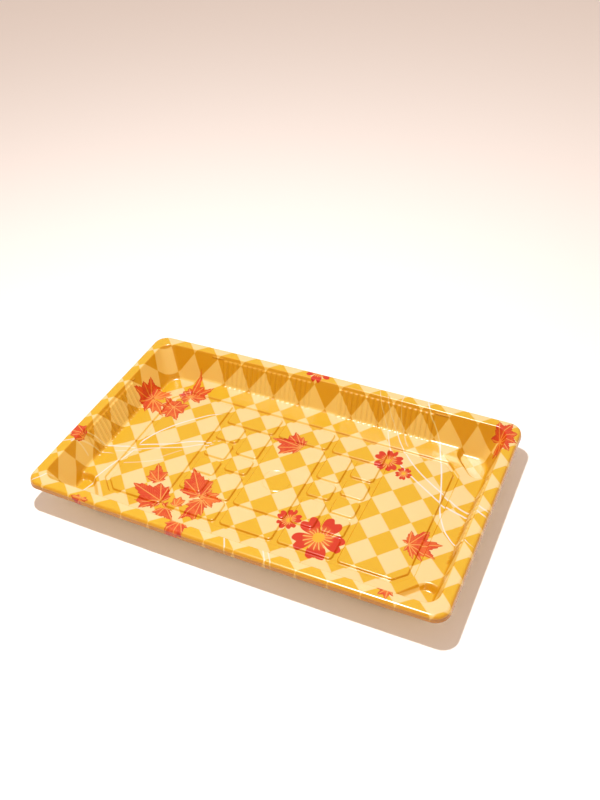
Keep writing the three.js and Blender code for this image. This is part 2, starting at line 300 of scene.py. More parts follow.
def straightSpots(length, startCut, endCut):
    return [startCut + (length - startCut - endCut) * k / 3 for k in (1, 2)]


# Rows on the wall: close together under the rim, where ribs and bars begin, then even.
def wallSpots(length, endCut):
    tilt = math.hypot(1, form["wallSlope"])
    first = [depth * tilt for depth in wallRows]
    rest = np.linspace(first[-1], length - endCut, 8)[1:-1]
    return first + list(rest)


def ringShape(inset, level):
    flat = form["rimFlat"]
    halfX = form["rimLength"] / 2 - inset
    halfY = form["rimWidth"] / 2 - inset
    if inset <= 0:
        return halfX, halfY, form["rimOuterRadius"] - inset, form["rimBow"]
    if inset <= flat:
        gain = form["rimInnerRadius"] - form["rimOuterRadius"]
        return halfX, halfY, form["rimOuterRadius"] + gain * inset / flat, form["rimBow"]
    drop = form["rimLevel"] - level
    down = min(1.0, drop / (form["rimLevel"] - form["wallLevel"]))
    radius = form["rimInnerRadius"] + (form["wallFootRadius"] - form["rimInnerRadius"]) * down
    radius = max(radius - max(0.0, inset - flat - drop * form["wallSlope"]), 1.0)
    return halfX, halfY, radius, form["rimBow"] * (1 - down)


def bump(value, middle, half):
    return max(0.0, 1 - ((value - middle) / half) ** 2)


def reliefAt(station, depth, place):
    if place <= 2:
        return 0.0
    ribShare = smooth((depth - ribs["top"]) / (ribs["full"] - ribs["top"]))
    barShare = bump(depth, bars["depth"], bars["half"])
    return station["relief"] * ribShare + station["bar"] * bars["relief"] * barShare


def onFloorSheet(x, y):
    result = []
    for value, way, crease in ((x, "X", foot["creaseX"]), (y, "Y", foot["creaseY"])):
        half = crease + stretch["beyond" + way]
        near = max(0.0, 1 - (half - abs(value)) / stretch["edgeRun"])
        extra = stretch["edge" + way] * near * near
        result.append(value / stretch["floor" + way] - math.copysign(extra, value))
    return tuple(result)


def onRimSheet(station, inset):
    hold = stretch["edgeHold"]
    inset = max(inset, hold) + min(inset - hold, 0.0) * stretch["edgeShare"]
    x, y = placeOn(station, *ringShape(inset, form["rimLevel"]))
    beyond = max(0.0, -y - form["rimWidth"] / 2 + form["rimFlat"])
    front = stretch["rimFront"] + stretch["frontGain"] * beyond
    left = stretch["rimLeft"] * smooth(-x / stretch["leftRun"])
    return x - left, y - front * smooth(-y / stretch["frontRun"])


# Where a point of the rim or wall lay on the flat printed sheet.
def onSheet(station, place, x, y, levelAtFoot):
    if place <= 1:
        beyond = (1 - place) * math.hypot(form["skirtDrop"], form["skirtFlare"])
        return onRimSheet(station, -beyond)
    if place <= 2:
        return onRimSheet(station, (place - 1) * form["rimFlat"])
    if place >= 3:
        return onFloorSheet(x, y)
    rimPlace = onRimSheet(station, form["rimFlat"])
    inset = form["rimFlat"] + (form["rimLevel"] - levelAtFoot) * form["wallSlope"]
    footPlace = onFloorSheet(*placeOn(station, *ringShape(inset, levelAtFoot)))
    share = place - 2
    return tuple(a + (b - a) * share for a, b in zip(rimPlace, footPlace))


def newSkin():
    return {"points": [], "sheet": [], "faces": [], "upright": []}


def addPoints(skin, points, sheet=None, upright=False):
    first = len(skin["points"])
    skin["points"] += [tuple(p) for p in points]
    skin["sheet"] += sheet if sheet else [onFloorSheet(p[0], p[1]) for p in points]
    skin["upright"] += [upright] * len(points)
    return list(range(first, first + len(points)))


def bridge(skin, outer, inner):
    for i in range(len(outer)):
        j = (i + 1) % len(outer)
        skin["faces"].append((outer[i], outer[j], inner[j], inner[i]))


def bridgeAll(skin, loops):
    for outer, inner in zip(loops, loops[1:]):
        bridge(skin, outer, inner)


# Fills the plan between a loop and the holes in it.
def fill(skin, outer, holes=()):
    loops = [outer] + list(holes)
    order = [i for loop in loops for i in loop]
    plan = [[Vector((*skin["points"][i][:2], 0)) for i in loop] for loop in loops]
    faces = [tuple(order[i] for i in face) for face in geometry.tessellate_polygon(plan)]
    upward = sum(planArea(*(skin["points"][i] for i in face)) for face in faces) > 0
    skin["faces"] += faces if upward else [face[::-1] for face in faces]


def planArea(p, q, r):
    return (q[0] - p[0]) * (r[1] - p[1]) - (q[1] - p[1]) * (r[0] - p[0])


def addRimAndWalls(skin):
    stations = stationsRound()
    columns = []
    for station in stations:
        levelAtFoot = wallFootLevel(station)
        column = []
        for spot, place in sectionSamples(levelAtFoot):
            inset, level = spot
            relief = reliefAt(station, form["rimLevel"] - level, place)
            x, y = placeOn(station, *ringShape(inset, level), inset=relief)
            column.append(((x, y, level), onSheet(station, place, x, y, levelAtFoot)))
        columns.append(column)
    loops = []
    for row in range(len(columns[0])):
        loops.append(addPoints(skin, [c[row][0] for c in columns], [c[row][1] for c in columns]))
    bridgeAll(skin, loops)
    return {"stations": stations, "lip": loops[0], "foot": loops[-1]}


def swollen(start, end, swell, count):
    left = Vector((start.y - end.y, end.x - start.x)).normalized()
    middle = (start + end) / 2 + left * 2 * swell
    points = []
    for k in range(1, count):
        t = k / count
        points.append(start * (1 - t) ** 2 + middle * 2 * t * (1 - t) + end * t * t)
    return points


# Softens a line's corners, leaving its ends where they are.
def eased(line, rounds):
    for _ in range(rounds):
        inner = [(line[i - 1] + line[i] * 2 + line[i + 1]) / 4 for i in range(1, len(line) - 1)]
        line = [line[0]] + inner + [line[-1]]
    return line


# One line of a foot's step, from the short side's wall to the long side's, without its ends.
def stepLine(ends):
    steps = foot["slantSteps"]
    slant = [ends[1].lerp(ends[2], k / steps) for k in range(steps + 1)]
    line = [ends[0]] + swollen(ends[0], ends[1], foot["swell"], foot["shortBend"]) + slant
    line += swollen(ends[2], ends[3], foot["swell"] / 2, foot["longBend"]) + [ends[3]]
    return eased(line, 3)[1:-1]


def footLines(wallX, wallY):
    slant = Vector((foot["creaseX"] - foot["cutX"], foot["cutY"] - foot["creaseY"])).normalized()
    run = Vector((-slant.y, slant.x)) * foot["slantRun"]
    upper = [Vector((wallX, foot["endY"])), Vector((foot["creaseX"], foot["cutY"])),
             Vector((foot["cutX"], foot["creaseY"])), Vector((foot["endX"], wallY))]
    step = foot["step"]
    lower = [Vector((wallX, foot["endY"] + step)),
             Vector((foot["creaseX"] + run.x * foot["lowRunX"], foot["endY"] + step)),
             Vector((foot["endX"] + step, foot["creaseY"] + run.y * foot["lowRunY"])),
             Vector((foot["endX"] + step, wallY))]
    return stepLine(upper), stepLine(lower)


# Height of the border, which is level inside the crease and rises beyond it to the wall.
def borderLevel(x, y, wallX, wallY):
    across = max((abs(x) - foot["creaseX"]) / (wallX - foot["creaseX"]),
                 (abs(y) - foot["creaseY"]) / (wallY - foot["creaseY"]), 0.0)
    return form["floorLevel"] + form["wallRise"] * min(across, 1.0)


def stationAt(stations, side, along):
    return next(i for i, s in enumerate(stations)
                if s["side"] == side and s["turn"] is None and abs(s["along"] - along) < 1e-6)


# Each foot: its step in rows from the border down, then its flat bottom out to the wall.
def addFeet(skin, wall):
    stations, loop = wall["stations"], wall["foot"]
    edge = [skin["points"][i] for i in loop]
    straight = [p for p, s in zip(edge, stations) if s["turn"] is None]
    wallX, wallY = (max(abs(p[k]) for p in straight) for k in (0, 1))
    upper, lower = footLines(wallX, wallY)
    feet = []
    for corner in range(4):
        signX = -1 if corner in (1, 2) else 1
        signY = -1 if corner > 1 else 1
        firstEnd = foot["endX"] if isLong(corner) else foot["endY"]
        lastEnd = foot["endY"] if isLong(corner) else foot["endX"]
        first = stationAt(stations, corner, firstEnd)
        last = stationAt(stations, (corner + 1) % 4, -lastEnd)
        rows = []
        for k in range(foot["stepRows"] + 1):
            share = k / foot["stepRows"]
            line = []
            for a, b in zip(upper, lower):
                high = borderLevel(a.x, a.y, wallX, wallY)
                spot = a.lerp(b, share)
                level = high + (form["footLevel"] - high) * smooth(share)
                line.append((spot.x * signX, spot.y * signY, level))
            if isLong(corner):
                line.reverse()
            inner = addPoints(skin, line)
            rows.append([loop[(first + k) % len(loop)]] + inner + [loop[(last - k) % len(loop)]])
        for high, low in zip(rows, rows[1:]):
            for i in range(len(high) - 1):
                skin["faces"].append((low[i], low[i + 1], high[i + 1], high[i]))
        stretchOfWall = partOfLoop(loop, first + foot["stepRows"], last - foot["stepRows"])
        fill(skin, stretchOfWall + rows[-1][1:-1][::-1])
        feet.append({"upper": rows[0][1:-1], "first": first, "last": last})
    return feet


# The points of a loop from one place to another, both included.
def partOfLoop(loop, start, end):
    count = (end - start) % len(loop)
    return [loop[(start + k) % len(loop)] for k in range(count + 1)]


# The strips that rise from the border to the wall, and the crease they start from.
def addWallStrips(skin, wall, feet):
    loop = wall["foot"]
    crease = []
    for corner, here in enumerate(feet):
        ahead = feet[(corner + 1) % 4]
        bend = foot["shortBend"] if isLong(corner) else foot["longBend"]
        stretchOfWall = partOfLoop(loop, here["last"], ahead["first"])
        count = len(here["upper"])
        back = here["upper"][count - bend:]
        onward = ahead["upper"][:bend]
        fill(skin, stretchOfWall + onward + back)
        crease += here["upper"][bendStart(corner) - 1:count - bend + 1]
    return crease


def bendStart(corner):
    return foot["longBend"] if isLong(corner) else foot["shortBend"]


def boxCorners(box, grow):
    cuts = (box["cutRight"], box["cutLeft"])
    right, left = (cut + grow * (2 - math.sqrt(2)) if cut > 0 else 0 for cut in cuts)
    x0, x1, y0, y1 = box["x0"] - grow, box["x1"] + grow, box["y0"] - grow, box["y1"] + grow
    corners = [(x1 - right, y0), (x1, y0 + right), (x1, y1 - right), (x1 - right, y1),
               (x0 + left, y1), (x0, y1 - left), (x0, y0 + left), (x0 + left, y0)]
    kept = [c for i, c in enumerate(corners) if i == 0 or c != corners[i - 1]]
    return kept[:-1] if kept[-1] == kept[0] else kept


def roundedLoop(corners, radius, level):
    points = []
    count = len(corners)
    for i, corner in enumerate(corners):
        here = Vector(corner)
        before = (Vector(corners[i - 1]) - here).normalized()
        after = (Vector(corners[(i + 1) % count]) - here).normalized()
        bend = math.pi - before.angle(after)
        first = here + before * radius * math.tan(bend / 2)
        centre = first + Vector((before.y, -before.x)) * radius
        start = first - centre
        steps = cells["cornerSteps"] if bend > 1 else cells["cornerSteps"] // 2
        for k in range(steps + 1):
            spot = centre + turned(start, bend * k / steps)
            points.append((spot.x, spot.y, level))
    return points


def box(x0, x1, y0, y1, cutRight=0.0, cutLeft=0.0):
    return {"x0": x0, "x1": x1, "y0": y0, "y1": y1, "cutRight": cutRight, "cutLeft": cutLeft}


def cellColumn(x0, x1, cuts):
    half = cells["gap"] / 2
    tops = [cells["middleRowEnd"]] + [cut - half for cut in cuts]
    bottoms = [cut + half for cut in cuts] + [-cells["middleRowEnd"]]
    return [box(x0, x1, y0, y1) for y0, y1 in zip(bottoms, tops)]


def mirroredBox(b):
    return box(-b["x1"], -b["x0"], b["y0"], b["y1"], b["cutLeft"], b["cutRight"])


def floorCells():
    c = cells
    rows = [(c["endRowInner"], c["rowsEnd"]), (-c["rowsEnd"], -c["endRowInner"])]
    half = [box(c["inner"], c["outer"], *row) for row in rows]
    half += cellColumn(c["splitOuter"], c["outer"], c["outerCuts"])
    half += cellColumn(c["inner"], c["splitInner"], c["innerCuts"])
    half.append(box(c["plateInner"], c["plateOuter"], -c["rowsEnd"], c["rowsEnd"], cutRight=c["plateCut"]))
    ends = [box(-c["middleHalf"], c["middleHalf"], *row) for row in rows]
    return half + [mirroredBox(b) for b in half] + ends


# The section of a cell's edge, rounded at its foot and its top, as (run, rise) points.
def edgeSection():
    rows = cells["edgeRows"]
    turns = [math.radians(cells["steepness"]) * k / rows for k in range(rows + 1)]
    low, high = ([(radius * math.sin(t), radius * (1 - math.cos(t))) for t in turns]
                 for radius in (cells["edgeFoot"], cells["edgeTop"]))
    straight = form["channelDepth"] - low[-1][1] - high[-1][1]
    width = low[-1][0] + high[-1][0] + straight / math.tan(turns[-1])
    return low + [(width - run, form["channelDepth"] - rise) for run, rise in reversed(high)]


# Loops from a cell's foot in the channel to its top. outward is -1 for the frame round the cells.
def cellLoops(skin, shape, outward):
    section = edgeSection()
    half = section[-1][0] / 2
    loops = []
    for run, rise in section:
        grow = outward * (half - run)
        points = roundedLoop(boxCorners(shape, grow), cells["radius"] + grow, form["channelLevel"] + rise)
        loops.append(addPoints(skin, points, upright=True))
    return loops


def addRing(skin, outerLoop):
    loops = []
    for k in range(ring["rows"] + 1):
        share = k / ring["rows"]
        radius = ring["radius"] + ring["width"] * (0.5 - share)
        level = form["floorLevel"] + ring["relief"] * math.sin(math.pi * share) ** 2
        points = []
        for i in range(ring["steps"]):
            angle = 2 * math.pi * i / ring["steps"]
            spot = (ring["x"] + radius * math.cos(angle), ring["y"] + radius * math.sin(angle), level)
            points.append(spot)
        loops.append(addPoints(skin, points, upright=True))
    fill(skin, outerLoop, [loops[0]])
    bridgeAll(skin, loops)
    fill(skin, loops[-1])


def addFloor(skin, crease):
    border = box(-cells["frameX"], cells["frameX"], -cells["frameY"], cells["frameY"],
                 cells["frameCut"], cells["frameCut"])
    frameLoops = cellLoops(skin, border, -1)
    bridgeAll(skin, frameLoops[::-1])
    fill(skin, crease, [frameLoops[-1]])
    bases = []
    middle = box(-cells["middleHalf"], cells["middleHalf"], -cells["middleRowEnd"], cells["middleRowEnd"])
    for shape in floorCells() + [middle]:
        loops = cellLoops(skin, shape, 1)
        bridgeAll(skin, loops)
        bases.append(loops[0])
        if shape is middle:
            addRing(skin, loops[-1])
        else:
            fill(skin, loops[-1])
    fill(skin, frameLoops[0], bases)


# Area-weighted normals keep the flats flat next to their soft edges.
def pointNormals(points, faces):
    normals = np.zeros_like(points)
    for size in (3, 4):
        group = np.array([f for f in faces if len(f) == size])
        if len(group) == 0:
            continue
        a = points[group[:, 0]]
        b = points[group[:, 1]]
        c = points[group[:, 2]]
        d = points[group[:, size - 1]]
        cross = np.cross(c - a, d - b) if size == 4 else np.cross(b - a, c - a)
        for k in range(size):
            np.add.at(normals, group[:, k], cross)
    return normals / np.linalg.norm(normals, axis=1, keepdims=True)


def placed(name, data):
    thing = bpy.data.objects.new(name, data)
    bpy.context.scene.collection.objects.link(thing)
    return thing


# The sheet is its top face, the same face shifted by the sheet's thickness, and an edge round the lip.
# The floor's steps are shifted straight down, so that both faces keep their plan.
def makeTray():
    skin = newSkin()
    wall = addRimAndWalls(skin)
    feet = addFeet(skin, wall)
    crease = addWallStrips(skin, wall, feet)
    addFloor(skin, crease)
    top = np.array(skin["points"])
    normals = pointNormals(top, skin["faces"])
    upright = np.array(skin["upright"])
    away = np.where(upright[:, None], np.array([[0.0, 0.0, 1.0]]), normals)
    lip = np.array(wall["lip"])
    away[lip, 2] = 0
    away[lip] /= np.linalg.norm(away[lip], axis=1, keepdims=True)
    under = top - away * form["sheet"]
    count = len(top)
    faces = list(skin["faces"])
    faces += [tuple(i + count for i in reversed(face)) for face in skin["faces"]]
    loop = wall["lip"]
    edge = [(loop[i], loop[i] + count, loop[(i + 1) % len(loop)] + count, loop[(i + 1) % len(loop)])
            for i in range(len(loop))]
    faces += edge
    mesh = bpy.data.meshes.new("tray_sheet")
    mesh.from_pydata((np.vstack([top, under]) * millimetre).tolist(), [], faces)
    mesh.polygons.foreach_set("use_smooth", [True] * len(faces))
    sides = len(skin["faces"])
    mesh.polygons.foreach_set("material_index", [0] * sides + [1] * (len(faces) - sides))
    sheet = np.array(skin["sheet"] + skin["sheet"]) / sheetScale
    layer = mesh.uv_layers.new(name="sheet")
    corners = np.empty(len(mesh.loops), dtype=int)
    mesh.loops.foreach_get("vertex_index", corners)
    layer.data.foreach_set("uv", sheet[corners].ravel())
    underNormals = pointNormals(under, [tuple(reversed(f)) for f in skin["faces"]])
    allNormals = np.vstack([normals, underNormals])
    cornerNormals = allNormals[corners]
    for k in range(2 * sides, len(faces)):
        polygon = mesh.polygons[k]
        cornerNormals[polygon.loop_start:polygon.loop_start + 4] = polygon.normal
    mesh.normals_split_custom_set(cornerNormals.tolist())
    tray = placed("tray_sheet", mesh)
    print("tray:", len(mesh.vertices), "points,", len(mesh.polygons), "faces")
    return tray


# Light: a warm even sky and a white lamp above the table. onTray is the light that falls on
# the tray's floor, by which on-screen colours are turned into the print's own.
light = {
    "lamp": (-0.030, -0.060, 0.583),
    "lampRadius": 0.012,
    "lampPower": 13.0,
    "sheenRadius": 0.07,      # a wider lamp at the same place, seen in the sheen alone
    "sheenPower": 8.0,
    "sky": (0.72, 0.54, 0.44),
    "onTray": (1.5, 1.42, 1.36),
}


# A colour given as it looks on screen, from 0 to 255, in the light that falls on the tray.
def inLight(red, green, blue):
    shares = [(value / 255) ** 2.2 for value in (red, green, blue)]
    return tuple(share / lit for share, lit in zip(shares, light["onTray"])) + (1.0,)


def addNode(tree, kind, **settings):
    node = tree.nodes.new(kind)
    for name, value in settings.items():
        setattr(node, name, value)
    return node


# Sets a node's inputs or links them to other nodes, and gives its outputs.
def feed(tree, node, values):
    for place, value in values.items():
        if isinstance(value, bpy.types.NodeSocket):
            tree.links.new(value, node.inputs[place])
        else:
            node.inputs[place].default_value = value
    return node.outputs


def calc(tree, operation, *values, clamp=False):
    node = addNode(tree, "ShaderNodeMath", operation=operation, use_clamp=clamp)
    return feed(tree, node, dict(enumerate(values)))[0]


def times(tree, one, other):
    return calc(tree, "MULTIPLY", one, other)


def minus(tree, one, other):
    return calc(tree, "SUBTRACT", one, other)


def rangeOf(tree, value, fromLow, fromHigh, toLow=0.0, toHigh=1.0, clamp=True):
    node = addNode(tree, "ShaderNodeMapRange", clamp=clamp)
    return feed(tree, node, dict(enumerate((value, fromLow, fromHigh, toLow, toHigh))))[0]


def mixed(tree, share, under, over, way="MIX"):
    node = addNode(tree, "ShaderNodeMix", data_type="RGBA", blend_type=way)
    return feed(tree, node, {0: share, 6: under, 7: over})[2]


def partsOf(tree, vector):
    return feed(tree, addNode(tree, "ShaderNodeSeparateXYZ"), {0: vector})


def noiseOf(tree, place, size, detail):
    node = addNode(tree, "ShaderNodeTexNoise")
    return feed(tree, node, {"Vector": place, "Scale": size, "Detail": detail})[0]


# A curve through (place, value) points, both from 0 to 1.
def curveOf(tree, place, points, sharp):
    node = addNode(tree, "ShaderNodeFloatCurve")
    curve = node.mapping.curves[0]
    for spot in points[1:-1]:
        curve.points.new(*spot)
    curve.points[0].location = points[0]
    curve.points[-1].location = points[-1]
    for point in curve.points:
        point.handle_type = "VECTOR" if sharp else "AUTO"
    node.mapping.update()
    return feed(tree, node, {"Value": place})[0]


def newGroup(name, inputs, outputs):
    tree = bpy.data.node_groups.new(name, "ShaderNodeTree")
    kinds = {"vector": "NodeSocketVector", "value": "NodeSocketFloat", "colour": "NodeSocketColor"}
    for label, kind in inputs.items():
        tree.interface.new_socket(label, in_out="INPUT", socket_type=kinds[kind])
    for label, kind in outputs.items():
        tree.interface.new_socket(label, in_out="OUTPUT", socket_type=kinds[kind])
    return tree, tree.nodes.new("NodeGroupInput"), tree.nodes.new("NodeGroupOutput")


# The sheet's place as seen from a motif: turned and sized so that the motif's reach is 1.
def motifPlace(tree, sheet, x, y, turn, radius):
    node = addNode(tree, "ShaderNodeMapping", vector_type="TEXTURE")
    return feed(tree, node, {"Vector": sheet, "Location": (x, y, 0),
                             "Rotation": (0, 0, math.radians(turn)), "Scale": (radius, radius, 1)})[0]


def useGroup(tree, group, **values):
    return feed(tree, addNode(tree, "ShaderNodeGroup", node_tree=group), values)


# Gold and pale checks on the flat sheet, standing on their corners. Colours are as seen on screen.
check = {
    "x": -56.98,               # middle of one pale check
    "y": 3.83,
    "periodX": 16.75,
    "periodY": 17.0,
    "sharp": 14.0,
    "gold": (240, 186, 42),
    "pale": (252, 222, 155),
}


def checkColour(tree, x, y):
    shares = []
    for place, middle, period in ((x, check["x"], check["periodX"]), (y, check["y"], check["periodY"])):
        steps = times(tree, minus(tree, place, middle), 2 / period)
        shares.append(calc(tree, "PINGPONG", steps, 1.0))
    rest = minus(tree, 1.0, calc(tree, "ADD", *shares))
    share = calc(tree, "MULTIPLY_ADD", rest, check["sharp"], 0.5, clamp=True)
    return mixed(tree, share, inLight(*check["gold"]), inLight(*check["pale"])), share


# Thin white strokes, each through a few points of the flat sheet, and how strongly it shows.
strokes = {
    "colour": (255, 246, 240),
    "width": 0.65,
    "soft": 0.12,              # half width of a stroke's blurred edge
    "fade": 0.04,              # share of its length over which it fades at each end
    "routes": [
        (1.0, [(-86.3, -7.3), (-85.2, -2.5), (-78, 10.5), (-66.5, 23), (-57, 30.3), (-50, 32)]),
        (1.0, [(-86.3, -7.3), (-78, -3.8), (-69.5, -0.2), (-58, 6.3), (-49.5, 9.5), (-44, 13.5)]),
        (0.8, [(-88, -12.3), (-79, -7.6), (-69, -3.2), (-61, 0.2), (-53, 5.4), (-46, 8.5)]),
        (0.9, [(-97, -49), (-94.5, -38), (-91.5, -26), (-88.5, -16), (-86.5, -9)]),
        (0.9, [(-113, -27), (-108.5, -20.5), (-103, -16), (-95, -12), (-87, -9)]),
        (0.8, [(-114, -37), (-109, -27.5), (-103.5, -22), (-95, -18)]),
        (0.5, [(-96, -16.3), (-89, -13.3), (-82, -10.5)]),
        (0.35, [(-87, -22.5), (-77, -18), (-66, -11.5)]),
        (0.3, [(-69, -11), (-64, -5.5), (-60.5, -2)]),
        (0.8, [(-119, -38.5), (-115, -35.5), (-109, -31), (-104, -29)]),
        (0.8, [(-117, -72), (-112.5, -66), (-109, -58)]),
        (0.9, [(32.5, 72), (36.8, 62), (40.5, 55), (44.5, 47), (49, 39.5), (57.5, 31.2), (66, 25.3),
               (78, 18), (87, 12.8), (103, 6.5), (112, -0.5), (119, -4)]),
        (0.85, [(37.5, 72), (41.5, 62), (46.5, 54), (51.5, 47), (57, 40.5), (66, 32), (76, 25), (88, 18),
                (97, 12.5), (104, 9.3), (112, 3), (119, 0)]),
        (0.45, [(48.3, 71), (49, 60), (51.5, 53), (57, 45)]),
        (1.0, [(62, 72), (66.5, 63), (70.5, 57), (75.5, 45.5), (80, 34), (84, 21.5), (87.5, 9.5),
               (92, 0), (98, -8), (104, -13.5), (112, -22), (119, -26)]),
        (0.8, [(-7.5, -48), (-1.5, -60), (4, -71), (7, -78)]),
        (0.7, [(13, -48), (21, -62), (26, -71), (30, -78)]),
        (0.6, [(16, -48), (23.5, -62), (29, -71), (33, -78)]),
    ],
}


def strokeMask(tree, x, y, strength, points):
    ends = [points[0], points[-1]]
    alongX = abs(ends[1][0] - ends[0][0]) > abs(ends[1][1] - ends[0][1])
    route = points if alongX else [(b, a) for a, b in points]
    route = sorted(route)
    place, across = (x, y) if alongX else (y, x)
    low, high = route[0][0], route[-1][0]
    least, most = min(p[1] for p in route), max(p[1] for p in route)
    share = rangeOf(tree, place, low, high, clamp=False)
    shares = [((a - low) / (high - low), (b - least) / (most - least)) for a, b in route]
    curve = curveOf(tree, share, shares, False)
    middle = rangeOf(tree, curve, 0.0, 1.0, least, most, clamp=False)
    slope = math.atan2(most - least, high - low)
    away = calc(tree, "ABSOLUTE", minus(tree, across, middle))
    off = times(tree, away, math.cos(slope))
    half, soft = strokes["width"] / 2, strokes["soft"]
    inside = rangeOf(tree, off, half + soft, half - soft, 0.0, strength)
    fromEnd = minus(tree, 0.5, calc(tree, "ABSOLUTE", minus(tree, share, 0.5)))
    return times(tree, inside, rangeOf(tree, fromEnd, 0.0, strokes["fade"]))


def withStrokes(tree, x, y, under):
    masks = [strokeMask(tree, x, y, strength, points) for strength, points in strokes["routes"]]
    whole = masks[0]
    for mask in masks[1:]:
        whole = calc(tree, "MAXIMUM", whole, mask)
    return mixed(tree, whole, under, inLight(*strokes["colour"]))


# Maple leaves. Each leaf: the place of its stalk's end, how orange it is from 0 to 1, how far out its
# lobes part as a share of the shorter one, and its lobes, each by the way it points in degrees and
# its length.
leaves = {
    "red": (226, 66, 28),
    "orange": (246, 122, 50),
    "rim": (188, 46, 16),      # darker line along the leaf's edge
    "vein": (253, 186, 92),
    "rimFade": (0.9, 0.2),     # the line's inner and outer end, from the leaf's edge
    "rimShare": 0.6,
    "edgeSharp": 4.0,
    "lobeEdge": [(0, 1.0), (0.24, 0.62), (0.38, 0.66), (0.62, 0.22), (0.76, 0.3), (1, 0.0)],
    "widest": 26.0,            # degrees from a lobe's tip to where the leaf falls back to its stalk
    "stalk": 0.1,
    "veinHalf": 0.17,
    "veinFade": (0.2, 1.6),    # veins end short of the leaf's edge
    "veinShare": 0.75,
    "sideSlant": 1.4,          # slant, closeness, width and strength of the side veins
    "sideClose": 1.1,
    "sideWidth": 0.3,
    "sideShare": 0.3,
    "blotchSize": 0.22,        # how red and orange run into each other
    "blotchDetail": 2.0,
    "blotchGain": 2.4,
    "blotchShift": -1.3,
    "spots": [
        (-60, -27.5, 0.35, 0.86, [(122, 14.4), (149, 10.8), (173, 8.8), (221, 3.3), (82, 8.5),
         (45, 4.4)]),
        (-33, -28.5, 0.9, 0.78, [(8, 14), (32, 10.8), (63, 8), (-25, 11)]),
        (-42, -39, 0.9, 0.85, [(60, 6.5), (95, 7.2), (128, 6.2), (165, 4), (20, 4)]),
        (-31, -30, 0.4, 0.82, [(253, 17), (280, 14.4), (299, 11.6), (221, 9.2), (208, 7.6),
         (325, 7)]),
        (-33.5, -28, 0.3, 0.9, [(130, 21.8), (85, 12.7), (69, 8.8), (153, 15.8), (182, 12.7),
         (218, 6)]),
        (-46.5, -41, 0.35, 0.8, [(-40, 11.5), (-98, 8), (-130, 8), (150, 5.5), (95, 3.5),
         (-10, 5)]),
        (-51.5, -38.5, 0.15, 0.86, [(165, 22), (120.6, 13), (95, 10.7), (57, 6.7), (198, 14.4),
         (225, 12.2), (253, 7)]),
        (1.5, 23.8, 0.25, 0.85, [(174, 20), (150, 12.5), (130, 13.5), (108, 8.5), (80, 6), (248, 7),
         (222, 14), (200, 14)]),
        (80.6, -17.9, 0.45, 0.66, [(18, 17), (60, 14.4), (100, 9), (160, 4.5), (258, 5), (303, 9.6),
         (324, 12.2), (345, 16)]),
        (-99.5, 28.8, 0.1, 0.8, [(128, 12.8), (160, 9.5), (208, 12.5), (240, 9.5), (277, 12),
         (100, 12.6)]),
        (-99, 29, 0.95, 0.8, [(62, 14), (40, 11), (85, 11), (18, 6)]),
        (-99, 28, 0.6, 0.8, [(322, 15.5), (298, 12), (345, 9.5), (275, 9)]),
        (-79.5, 37.7, 0.45, 0.82, [(100, 21), (75, 12), (52, 15.6), (13, 10.5), (-18, 8.4),
         (125, 9), (153, 8), (180, 8.5), (262, 6.4), (220, 6)]),
        (-84.5, 27, 0.5, 0.78, [(-50, 12.5), (-18, 9), (-88, 9.8), (-125, 8.5), (150, 11),
         (30, 9.5), (75, 6.5), (180, 8)]),
        (-110.5, -28, 0.1, 0.9, [(150, 9.5), (185, 10), (215, 8.5), (115, 7), (250, 7)]),
        (-24.5, -65, 0.4, 0.86, [(215, 9), (240, 11), (270, 13), (300, 10), (330, 7)]),
        (-82.5, -72, 0.1, 0.7, [(180, 6.5), (215, 5), (150, 4), (0, 4.5), (35, 3.5), (270, 6)]),
        (88, -64, 0.35, 0.7, [(205, 6), (240, 7.5), (275, 8), (310, 6)]),
        (107, 58, 0.15, 0.75, [(160, 6), (100, 11), (65, 13), (25, 11), (-15, 11), (-50, 14),
         (-85, 12), (-120, 8)]),
    ],
}


# The edge of a leaf all round its stalk's end, as (angle, reach) points, and how far each angle is
# from the nearest lobe's middle.
def leafRound(notch, lobes):
    lobes = sorted((angle % 360, length) for angle, length in lobes)
    edge, veins = [], []
    for i, (angle, length) in enumerate(lobes):
        nextAngle, nextLength = lobes[(i + 1) % len(lobes)]
        gap = (nextAngle - angle) % 360
        joined = gap < 3 * leaves["widest"]
        half = gap / 2 if joined else leaves["widest"]
        for share, out in leaves["lobeEdge"]:
            for tip, reach, way in ((angle, length, 1), (nextAngle, nextLength, -1)):
                low = notch * min(length, nextLength) if joined else leaves["stalk"] * reach
                edge.append((tip + way * share * half, low + (reach - low) * out))
        veins += [(angle, 0.0), (angle + half, half), (angle + gap - half, half)]
    return closedRound(edge), closedRound(veins)


# Points wrapped to 0..360 degrees, sorted and closed at both ends.
def closedRound(points):
    kept = {}
    for angle, value in points:
        kept[round(angle % 360, 2)] = value
    points = sorted(kept.items())
    (first, firstValue), (last, lastValue) = points[0], points[-1]
    share = (360 - last) / (first + 360 - last)
    seam = lastValue + (firstValue - lastValue) * share
    return [(0.0, seam)] + [p for p in points if 0 < p[0] < 360] + [(360.0, seam)]


# Reach and angle of the sheet's place round a leaf's stalk end.
def aroundGroup():
    tree, start, end = newGroup("around", {"Place": "vector", "Middle": "vector"},
                                {"Reach": "value", "Turn": "value"})
    ends = {0: start.outputs["Place"], 1: start.outputs["Middle"]}
    away = feed(tree, addNode(tree, "ShaderNodeVectorMath", operation="SUBTRACT"), ends)[0]
    far = feed(tree, addNode(tree, "ShaderNodeVectorMath", operation="LENGTH"), {0: away})["Value"]
    x, y, _ = partsOf(tree, away)
    turn = calc(tree, "ARCTAN2", y, x)
    feed(tree, end, {"Reach": far, "Turn": calc(tree, "FRACT", calc(tree, "DIVIDE", turn, 2 * math.pi))})
    return tree


